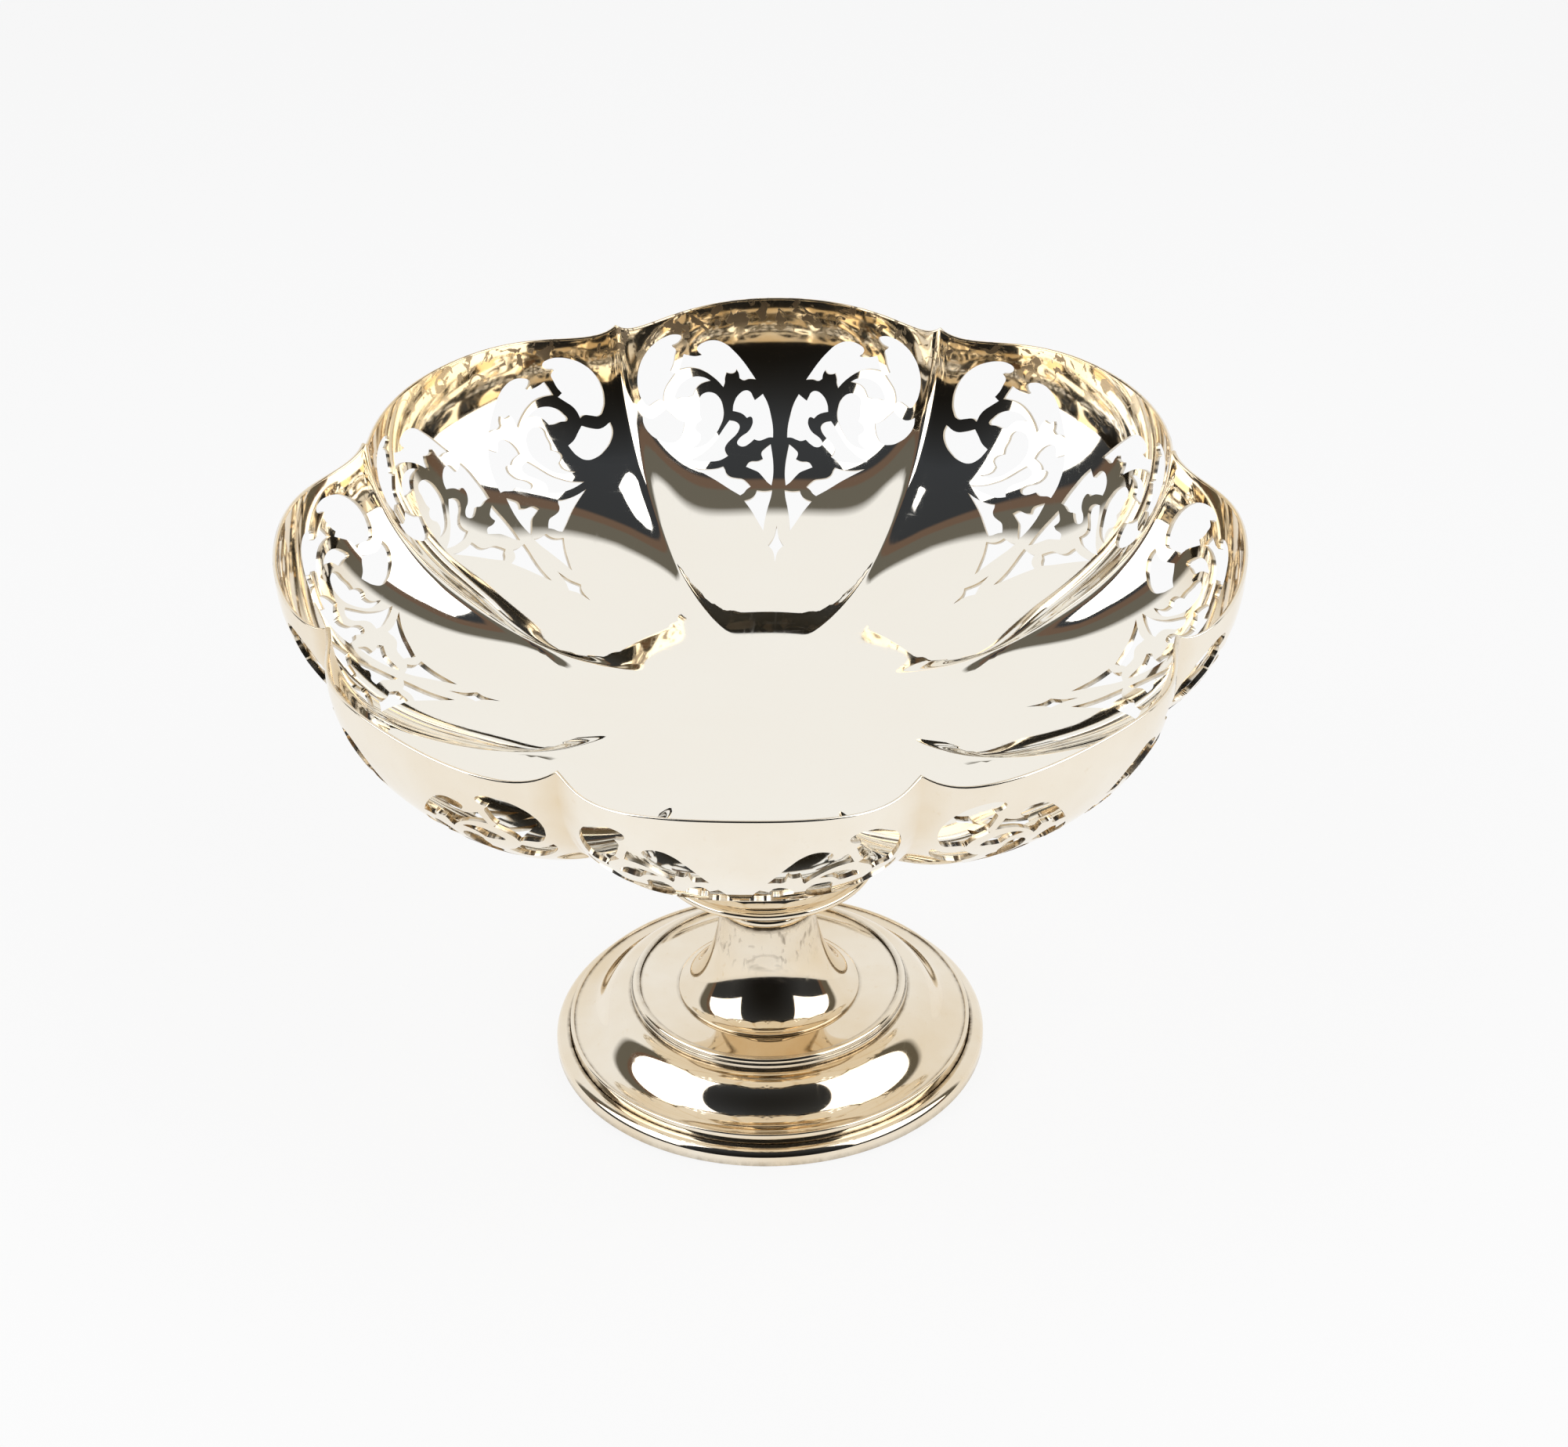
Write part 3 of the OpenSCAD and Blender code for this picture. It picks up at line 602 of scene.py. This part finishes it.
def scroll_cutters(depth):
    """One mesh of closed prisms, an opening each, in the flat sheet's coordinates."""
    outlines = bpy.data.curves.new("scroll_outlines", "CURVE")
    outlines.dimensions = "2D"
    outlines.fill_mode = "BOTH"
    outlines.extrude = depth
    outlines.resolution_u = OUTLINE_STEPS
    for points in SCROLLS.values():
        spline = outlines.splines.new("BEZIER")
        spline.bezier_points.add(len(points) - 1)
        for knot, (t, rise, *sharp) in zip(spline.bezier_points, points):
            knot.co = (t * FLAT_X, rise / 90 * FLAT_Y, 0)
            knot.handle_left_type = knot.handle_right_type = "VECTOR" if sharp else "AUTO"
        spline.use_cyclic_u = True
    holder = bpy.data.objects.new("scroll_outlines", outlines)
    bpy.context.scene.collection.objects.link(holder)
    mesh = evaluated_mesh(holder)
    bpy.data.objects.remove(holder)
    bm = bmesh.new()
    bm.from_mesh(mesh)
    bmesh.ops.remove_doubles(bm, verts=bm.verts[:], dist=FLAT_MERGE)
    bmesh.ops.recalc_face_normals(bm, faces=bm.faces[:])
    bm.to_mesh(mesh)
    bm.free()
    return mesh


def half_lobe_plate(wall):
    """The flat sheet of half a lobe as a closed plate, fine at the rib, with its rim in strips."""
    bm = bmesh.new()
    bmesh.ops.create_grid(bm, x_segments=COLUMNS, y_segments=ROWS, size=1)
    for v in bm.verts:
        x, y = (v.co.x + 1) / 2, (v.co.y + 1) / 2
        v.co = (FLAT_X * (1 - (1 - x) ** COLUMN_POWER), FLAT_Y * y**ROW_POWER, 0)
    raised = bmesh.ops.extrude_face_region(bm, geom=bm.faces[:], use_keep_orig=True)["geom"]
    move_verts(bm, raised, (0, 0, wall))
    across = [e for e in bm.edges if min(v.co.y for v in e.verts) > FLAT_Y - MERGE
              and abs(e.verts[0].co.z - e.verts[1].co.z) > wall / 2]
    bmesh.ops.subdivide_edges(bm, edges=across, cuts=RIM_STRIPS - 1, use_grid_fill=True)
    bmesh.ops.recalc_face_normals(bm, faces=bm.faces[:])
    return new_mesh(bm, "half_lobe")


def pierced_half_lobe(wall):
    """The plate with its scrolls cut out."""
    plate = bpy.data.objects.new("half_lobe", half_lobe_plate(wall))
    saw = bpy.data.objects.new("scroll_saw", scroll_cutters(SAW_DEPTH * wall))
    for o in (plate, saw):
        bpy.context.scene.collection.objects.link(o)
    cut = plate.modifiers.new("pierced", "BOOLEAN")
    cut.operation = "DIFFERENCE"
    cut.solver = "EXACT"
    cut.object = saw
    mesh = evaluated_mesh(plate)
    for o in (plate, saw):
        bpy.data.objects.remove(o)
    return mesh


def lobe_strip(size):
    """All lobes side by side, flat, each mirrored from one pierced half."""
    bm = bmesh.new()
    bm.from_mesh(pierced_half_lobe(size.wall / MM))
    bmesh.ops.remove_doubles(bm, verts=bm.verts[:], dist=FLAT_MERGE)
    seams = [f for f in bm.faces if all(v.co.x < FLAT_SEAM for v in f.verts)
             or all(v.co.x > FLAT_X - FLAT_SEAM for v in f.verts) or all(v.co.y < FLAT_SEAM for v in f.verts)]
    bmesh.ops.delete(bm, geom=seams, context="FACES")
    bmesh.ops.triangulate(bm, faces=[f for f in bm.faces if len(f.verts) > 4])
    bmesh.ops.mirror(bm, geom=bm.verts[:] + bm.edges[:] + bm.faces[:], axis="X", merge_dist=FLAT_SEAM)
    lobe = bm.verts[:] + bm.edges[:] + bm.faces[:]
    for k in range(1, size.lobes):
        copy = bmesh.ops.duplicate(bm, geom=lobe)["geom"]
        move_verts(bm, copy, (2 * FLAT_X * k, 0, 0))
    return new_mesh(bm, "bowl_sheet")


def join_lobes(mesh):
    """Merges the lobes' seams and marks the sawn faces, which meet the sheet's two faces at sharp edges."""
    bm = bmesh.new()
    bm.from_mesh(mesh)
    bmesh.ops.remove_doubles(bm, verts=bm.verts[:], dist=MERGE)
    bmesh.ops.dissolve_degenerate(bm, dist=SLIVER, edges=bm.edges[:])
    bmesh.ops.recalc_face_normals(bm, faces=bm.faces[:])
    side = bm.verts.layers.float["face_out"]
    sawn = bm.faces.layers.float.new("sawn")
    for f in bm.faces:
        f.smooth = True
        span = [v[side] for v in f.verts]
        f[sawn] = float(max(span) - min(span) > 0.5)
    for e in bm.edges:
        if len(e.link_faces) == 2 and e.link_faces[0][sawn] != e.link_faces[1][sawn]:
            e.smooth = False
    bm.to_mesh(mesh)
    bm.free()


def exact_shading(mesh):
    """Gives the corners of the sheet's two faces the sheet's own direction, turned over at the rim."""
    points, faces = len(mesh.vertices), len(mesh.polygons)
    facing = read_values(mesh.attributes["facing"].data, "vector", points * 3).reshape(-1, 3)
    side = read_values(mesh.attributes["face_out"].data, "value", points)
    sawn = read_values(mesh.attributes["sawn"].data, "value", faces)
    corner = read_values(mesh.loops, "vertex_index", len(mesh.loops), np.int32)
    sizes = read_values(mesh.polygons, "loop_total", faces, np.int32)
    turn = (side[corner] - 0.5) * math.pi
    normals = facing[corner] * np.sin(turn)[:, None]
    normals[:, 2] += np.cos(turn)
    normals[np.repeat(sawn, sizes) > 0.5] = 0
    mesh.normals_split_custom_set(normals.tolist())
    mesh.attributes.remove(mesh.attributes["facing"])


def bowl_mesh(size):
    """The strip of lobes wrapped round into the bowl, with exact shading on its two faces."""
    mesh = lobe_strip(size)
    flat = read_values(mesh.vertices, "co", len(mesh.vertices) * 3).reshape(-1, 3).astype(float)
    t, p, out = flat[:, 0] / FLAT_X, np.clip(flat[:, 1] / FLAT_Y, 0, 1), flat[:, 2] * MM
    places = sheet_points(size, t, p, out)
    rim = p > RIM_SHARE
    places[rim, 2] -= size.edge_round * (2 * out[rim] / size.wall - 1) ** 2
    facing = sheet_normals(size, t, p, out)
    facing[p < POLE_SHARE] = (0, 0, -1)
    mesh.vertices.foreach_set("co", places.astype(np.float32).ravel())
    for name, values in (("face_out", out / size.wall), ("rise", p), ("half_lobe", np.abs(lobe_side(t)))):
        mesh.attributes.new(name, "FLOAT", "POINT").data.foreach_set("value", values.astype(np.float32))
    mesh.attributes.new("facing", "FLOAT_VECTOR", "POINT").data.foreach_set(
        "vector", facing.astype(np.float32).ravel())
    join_lobes(mesh)
    exact_shading(mesh)
    return mesh


# Silver


def add(tree, kind, **settings):
    """A node with its settings. A setting whose name starts with a capital is an input socket."""
    n = tree.nodes.new(kind)
    for key, value in settings.items():
        if key[0].isupper():
            n.inputs[key.replace("_", " ")].default_value = value
        else:
            setattr(n, key, value)
    return n


def wire(tree, *pairs):
    """Links pairs of an output and an input."""
    for a, b in pairs:
        tree.links.new(a, b)


def feed(tree, socket, value):
    """Links a socket to an input, or sets the input to a plain value."""
    if isinstance(value, bpy.types.NodeSocket):
        tree.links.new(value, socket)
    else:
        socket.default_value = value


def mix_colour(tree, factor, a, b):
    """A colour mix by a socket. Each of a and b is a socket or a colour."""
    n = add(tree, "ShaderNodeMix", data_type="RGBA")
    feed(tree, n.inputs[MIX_FACTOR], factor)
    for index, value in ((MIX_A, a), (MIX_B, b)):
        feed(tree, n.inputs[index], value if isinstance(value, bpy.types.NodeSocket) else (*value, 1))
    return n.outputs[MIX_RESULT]


def maths(tree, operation, a, b=0.0, clamp=False):
    """The result of an operation on two sockets or values."""
    n = add(tree, "ShaderNodeMath", operation=operation, use_clamp=clamp)
    for socket, value in zip(n.inputs, (a, b)):
        feed(tree, socket, value)
    return n.outputs[0]


def spread(tree, value, low, high, to_low=0.0, to_high=1.0):
    """A value moved from one range to another, and held inside it."""
    n = add(tree, "ShaderNodeMapRange", From_Min=low, From_Max=high, To_Min=to_low, To_Max=to_high)
    tree.links.new(value, n.inputs["Value"])
    return n.outputs["Result"]


def attribute(tree, key):
    """A value that the mesh holds at its points or faces."""
    return add(tree, "ShaderNodeAttribute", attribute_name=key).outputs["Fac"]


def patina_group():
    """Node group: cloudy film, tarnish and painted shade in crevices, mottled spots that are partly a painted
    reflection, rubbing marks and the waver of hand-worked sheet.
    """
    g = bpy.data.node_groups.new("silver_patina", "ShaderNodeTree")
    for name, default in (("Film and Reflection", 0.3), ("Crevice Tarnish and Shade", 0.0), ("Mottle and Reflection", 0.0), ("Satin", 0.0)):
        g.interface.new_socket(name, in_out="INPUT", socket_type="NodeSocketFloat").default_value = default
    for name in ("Film and Reflection", "Tarnish and Shade", "Rubbing", "Waver"):
        g.interface.new_socket(name, in_out="OUTPUT", socket_type="NodeSocketFloat")
    start, end = add(g, "NodeGroupInput"), add(g, "NodeGroupOutput")
    place = add(g, "ShaderNodeTexCoord").outputs["Object"]
    cloud = add(g, "ShaderNodeTexNoise", Scale=22, Detail=4, Roughness=0.6)
    speck = add(g, "ShaderNodeTexNoise", Scale=420, Detail=3, Roughness=0.7)
    spot = add(g, "ShaderNodeTexNoise", Scale=230, Detail=3, Roughness=0.55, Distortion=1.4)
    waver = add(g, "ShaderNodeTexNoise", Scale=38, Detail=1.5, Roughness=0.4)
    for n in (cloud, speck, spot, waver):
        g.links.new(place, n.inputs["Vector"])
    rubs = []
    for scale, turn in (((900, 60, 300), (0.3, 0.5, 0.9)), ((70, 1000, 300), (0.8, 0.2, 0.4))):
        stretch = add(g, "ShaderNodeMapping", Scale=scale, Rotation=turn)
        rub = add(g, "ShaderNodeTexNoise", Scale=1, Detail=2, Roughness=0.6)
        wire(g, (place, stretch.inputs["Vector"]), (stretch.outputs[0], rub.inputs["Vector"]))
        rubs.append(spread(g, rub.outputs[0], 0.58, 0.75))
    clouds = spread(g, cloud.outputs[0], 0.3, 0.7, 0.35, 1.3)
    specks = spread(g, speck.outputs[0], 0.62, 0.8, 0, 0.35)
    film = maths(g, "MULTIPLY", maths(g, "ADD", clouds, specks), start.outputs["Film and Reflection"], clamp=True)
    broken = spread(g, speck.outputs[0], 0.3, 0.65, 0.45, 1.25)
    marks = maths(g, "MAXIMUM", *rubs)
    # Mottled spots inside under the bowl's rim, partly tarnish and partly a painted reflection
    spots_and_reflection = maths(g, "MULTIPLY", spread(g, spot.outputs[0], 0.54, 0.57), start.outputs["Mottle and Reflection"])
    streaks = maths(g, "MULTIPLY", maths(g, "MULTIPLY", marks, start.outputs["Satin"]), SATIN_STREAKS)
    # Share of the dark colour: tarnish, with painted shade from the corners and a painted reflection in the
    # mottling under the bowl's rim.
    tarnish_and_shade = maths(g, "MAXIMUM", maths(g, "MULTIPLY", start.outputs["Crevice Tarnish and Shade"], broken),
                    maths(g, "MAXIMUM", spots_and_reflection, streaks), clamp=True)
    wire(g, (film, end.inputs["Film and Reflection"]), (tarnish_and_shade, end.inputs["Tarnish and Shade"]), (marks, end.inputs["Rubbing"]),
         (waver.outputs[0], end.inputs["Waver"]))
    return g


def dress_sheet(tree, skin, film):
    """Wear of the bowl's sheet: film outside and in its grooves, more film and mottling inside under the rim,
    which also paint the warm reflection there, and dull sawn edges."""
    rise, sawn = attribute(tree, "rise"), attribute(tree, "sawn")
    inside = spread(tree, attribute(tree, "face_out"), *FACE_CHANGE, 1, 0)
    groove = spread(tree, attribute(tree, "half_lobe"), GROOVE_START, 1, 0, GROOVE_FILM)
    grooves = maths(tree, "MULTIPLY", maths(tree, "SUBTRACT", 1, inside), groove)
    low = maths(tree, "ADD", spread(tree, inside, 0, 1, film * FILM_OUTSIDE, film * FILM_INSIDE), grooves)
    high = maths(tree, "MAXIMUM", spread(tree, rise, *FILM_AND_REFLECTION_RISES), sawn)
    place = add(tree, "ShaderNodeSeparateXYZ")
    tree.links.new(add(tree, "ShaderNodeTexCoord").outputs["Object"], place.inputs[0])
    back_inside = maths(tree, "MULTIPLY", inside, spread(tree, place.outputs["Y"], *MOTTLE_AND_REFLECTION_DEPTHS))
    mottle_and_reflection = maths(tree, "MULTIPLY", back_inside, spread(tree, rise, *MOTTLE_AND_REFLECTION_RISES, 0, MOTTLE_AND_REFLECTION_STRENGTH))
    film_and_reflection = maths(tree, "ADD", low, maths(tree, "MULTIPLY", high, inside))
    dull = maths(tree, "MULTIPLY", sawn, SAWN_TARNISH)
    wire(tree, (film_and_reflection, skin.inputs["Film and Reflection"]), (mottle_and_reflection, skin.inputs["Mottle and Reflection"]), (dull, skin.inputs["Crevice Tarnish and Shade"]))


def silver_material(name, finish, film, group, sheet):
    """Polished silver: metal with film, tarnish and rubbing marks from the shared group, with painted shade
    in its corners and, on the bowl, a painted reflection under the rim.
    """
    m = bpy.data.materials.new(name)
    m.use_nodes = True
    tree = m.node_tree
    shader = tree.nodes["Principled BSDF"]
    shader.inputs["Metallic"].default_value = 1
    skin = add(tree, "ShaderNodeGroup", node_tree=group)
    skin.inputs["Film and Reflection"].default_value = film
    rubbed = maths(tree, "MULTIPLY", skin.outputs["Rubbing"], RUBBED_ROUGH)
    dulled = maths(tree, "ADD", maths(tree, "MULTIPLY", skin.outputs["Film and Reflection"], FILM_ROUGH),
                   maths(tree, "MULTIPLY", skin.outputs["Tarnish and Shade"], TARNISH_ROUGH))
    rough = maths(tree, "ADD", maths(tree, "ADD", rubbed, dulled), finish.polish)
    if sheet:
        dress_sheet(tree, skin, film)
    else:
        satin = attribute(tree, "satin")
        wire(tree, (attribute(tree, "crevice_tarnish_and_shade"), skin.inputs["Crevice Tarnish and Shade"]), (satin, skin.inputs["Satin"]))
        rough = maths(tree, "ADD", rough, maths(tree, "MULTIPLY", satin, SATIN_ROUGH))
    film_and_reflection = mix_colour(tree, skin.outputs["Film and Reflection"], finish.silver, finish.film)
    aged = mix_colour(tree, skin.outputs["Tarnish and Shade"], film_and_reflection, finish.tarnish_and_shade)
    bump = add(tree, "ShaderNodeBump", Strength=0.25, Distance=0.0002)
    wire(tree, (aged, shader.inputs["Base Color"]), (rough, shader.inputs["Roughness"]),
         (skin.outputs["Waver"], bump.inputs["Height"]), (bump.outputs[0], shader.inputs["Normal"]))


def silver(scene, slot):
    """The silver of a slot, made once."""
    finish, name = scene.compote_finish, "aged_" + slot
    if name not in bpy.data.materials:
        group = bpy.data.node_groups.get("silver_patina") or patina_group()
        film = {"bowl_silver": finish.bowl_film, "stem_silver": finish.stem_film,
                "foot_silver": finish.foot_film}
        silver_material(name, finish, film[slot], group, sheet=slot == "bowl_silver")
    return bpy.data.materials[name]


# Stage


def floor_material(stage):
    """Pale floor that stays white to the camera and in the silver, and still takes a soft shadow."""
    m = bpy.data.materials.new("studio_floor")
    m.use_nodes = True
    tree = m.node_tree
    tree.nodes.remove(tree.nodes["Principled BSDF"])
    matt = add(tree, "ShaderNodeBsdfDiffuse", Color=(*stage.floor, 1))
    glow = add(tree, "ShaderNodeEmission", Color=(*stage.floor_glow, 1))
    path = add(tree, "ShaderNodeLightPath")
    seen = maths(tree, "MAXIMUM", path.outputs["Is Camera Ray"], path.outputs["Is Glossy Ray"])
    lifted = maths(tree, "MULTIPLY", seen, FLOOR_LIFT)
    blend = add(tree, "ShaderNodeMixShader")
    wire(tree, *zip((lifted, matt.outputs[0], glow.outputs[0]), blend.inputs),
         (blend.outputs[0], tree.nodes["Material Output"].inputs["Surface"]))
    return m


def studio_floor(scene, stage):
    """A wide floor under the foot."""
    bm = bmesh.new()
    bmesh.ops.create_grid(bm, x_segments=1, y_segments=1, size=FLOOR_REACH)
    mesh = new_mesh(bm, "studio_floor")
    mesh.materials.append(floor_material(stage))
    floor = bpy.data.objects.new("studio_floor", mesh)
    scene.collection.objects.link(floor)


def soft_box(scene, name, left, right, low, high, radiance):
    """An upright lamp of an even brightness that fills the given angles as seen from the object."""
    data = bpy.data.lights.new(name, "AREA")
    data.shape = "RECTANGLE"
    bottom, top = (LAMP_DISTANCE * math.tan(math.radians(e)) for e in (low, high))
    data.size = 2 * LAMP_DISTANCE * math.tan(math.radians(right - left) / 2)
    data.size_y = top - bottom
    data.energy = radiance * math.pi * data.size * data.size_y
    a = math.radians(left + right) / 2
    towards = Vector((math.sin(a), -math.cos(a), 0))
    o = bpy.data.objects.new(name, data)
    o.location = towards * LAMP_DISTANCE + Vector((0, 0, LAMP_AIM + (bottom + top) / 2))
    o.rotation_euler = towards.to_track_quat("Z", "Y").to_euler()
    o.visible_camera = False
    scene.collection.objects.link(o)


def room_world(stage):
    """A dim room, nearly black on the camera's side and lighter at the sides, with a pale backdrop behind."""
    world = bpy.data.worlds.new("studio_room")
    world.use_nodes = True
    tree = world.node_tree
    place = add(tree, "ShaderNodeSeparateXYZ")
    tree.links.new(add(tree, "ShaderNodeTexCoord").outputs["Generated"], place.inputs[0])
    ramp = add(tree, "ShaderNodeValToRGB")
    stops = ramp.color_ramp.elements
    while len(stops) < len(ROOM_BANDS):
        stops.new(1)
    for stop, (depth, key) in zip(stops, ROOM_BANDS):
        stop.position, stop.color = (depth + 1) / 2, (*getattr(stage, key), 1)
    wire(tree, (spread(tree, place.outputs["Y"], -1, 1), ramp.inputs[0]),
         (ramp.outputs["Color"], tree.nodes["Background"].inputs["Color"]))
    return world


def studio_camera(scene, stage):
    """The camera at its distance from the target, turned and rolled."""
    a, e, roll = stage.azimuth, stage.elevation, stage.roll
    back = Vector((math.sin(a) * math.cos(e), -math.cos(a) * math.cos(e), math.sin(e)))
    level = Vector((0, 0, 1)).cross(back).normalized()
    upright = back.cross(level)
    right = math.cos(roll) * level + math.sin(roll) * upright
    up = math.cos(roll) * upright - math.sin(roll) * level
    data = bpy.data.cameras.new("camera")
    data.sensor_width = SENSOR_WIDTH
    data.lens = stage.focal_pixels / IMAGE_WIDTH * SENSOR_WIDTH
    data.clip_end = CLIP_END
    camera = bpy.data.objects.new("camera", data)
    place = Vector((stage.target_side, 0, stage.target_height)) + back * stage.distance
    camera.matrix_world = Matrix.Translation(place) @ Matrix((right, up, back)).transposed().to_4x4()
    scene.collection.objects.link(camera)
    return camera


# Operators and panel


class CompoteBowl(bpy.types.Operator):
    """Builds the lobed, pierced bowl"""

    bl_idname = "compote.bowl"
    bl_label = "Bowl"

    def execute(self, context):
        mesh = bowl_mesh(context.scene.compote_bowl)
        finish_mesh("bowl_sheet", mesh, silver(context.scene, "bowl_silver"), "bowl")
        return {"FINISHED"}


class CompoteStem(bpy.types.Operator):
    """Builds the socket, collar, cup, bead and stem"""

    bl_idname = "compote.stem"
    bl_label = "Stem"

    def execute(self, context):
        at = seats(context.scene)
        turned_pieces(context.scene, "stem_silver", (
            ("socket_neck", "socket", socket_profile(at)),
            ("collar_dome", "collar", collar_profile(at)),
            ("cup_flare", "cup", cup_profile(at)),
            ("stem_bead", "bead", bead_profile(at)),
            ("stem_bell", "stem", stem_profile(at))))
        return {"FINISHED"}


class CompoteFoot(bpy.types.Operator):
    """Builds the dish, step ring, dome and rim of the foot"""

    bl_idname = "compote.foot"
    bl_label = "Foot"

    def execute(self, context):
        at = seats(context.scene)
        turned_pieces(context.scene, "foot_silver", (
            ("foot_dish", "dish", dish_profile(at)),
            ("foot_step_ring", "step_ring", step_ring_profile(at)),
            ("foot_dome_ring", "foot_dome", dome_profile(at)),
            ("foot_base_rim", "foot_rim", rim_profile(at))))
        return {"FINISHED"}


class CompoteStageSet(bpy.types.Operator):
    """Sets the floor, the soft boxes, the room and the camera"""

    bl_idname = "compote.stage"
    bl_label = "Stage"

    def execute(self, context):
        scene, stage = context.scene, context.scene.compote_stage
        studio_floor(scene, stage)
        for name, angles in SOFT_BOXES.items():
            soft_box(scene, name, *angles, stage.lamp_brightness)
        scene.world = room_world(stage)
        scene.camera = studio_camera(scene, stage)
        scene.view_settings.view_transform = "Standard"
        return {"FINISHED"}


class CompotePanel(bpy.types.Panel):
    """Lists the sizes and the steps of the bowl"""

    bl_idname = "VIEW3D_PT_compote"
    bl_label = "Compote bowl"
    bl_space_type = "VIEW_3D"
    bl_region_type = "UI"
    bl_category = "Compote"

    def draw(self, context):
        for group in SETTINGS:
            box = self.layout.box()
            settings = getattr(context.scene, group)
            for key in settings.__annotations__:
                box.prop(settings, key)
        for step in STEPS:
            self.layout.operator(step.bl_idname)


SETTINGS = {"compote_bowl": CompoteBowlSizes, "compote_stem": CompoteStemSizes,
            "compote_foot": CompoteFootSizes, "compote_finish": CompoteFinish, "compote_stage": CompoteStage}
STEPS = (CompoteBowl, CompoteStem, CompoteFoot, CompoteStageSet)
CLASSES = (*SETTINGS.values(), *STEPS, CompotePanel)


def register():
    """Registers the classes and hangs the settings on the scene."""
    for c in CLASSES:
        bpy.utils.register_class(c)
    for name, kind in SETTINGS.items():
        setattr(bpy.types.Scene, name, bpy.props.PointerProperty(type=kind))


def unregister():
    """Takes the settings and the classes away."""
    for name in SETTINGS:
        delattr(bpy.types.Scene, name)
    for c in reversed(CLASSES):
        bpy.utils.unregister_class(c)


def main():
    """Builds the bowl and its stage."""
    register()
    for step in (bpy.ops.compote.bowl, bpy.ops.compote.stem, bpy.ops.compote.foot, bpy.ops.compote.stage):
        step()


if __name__ == "__main__":
    main()
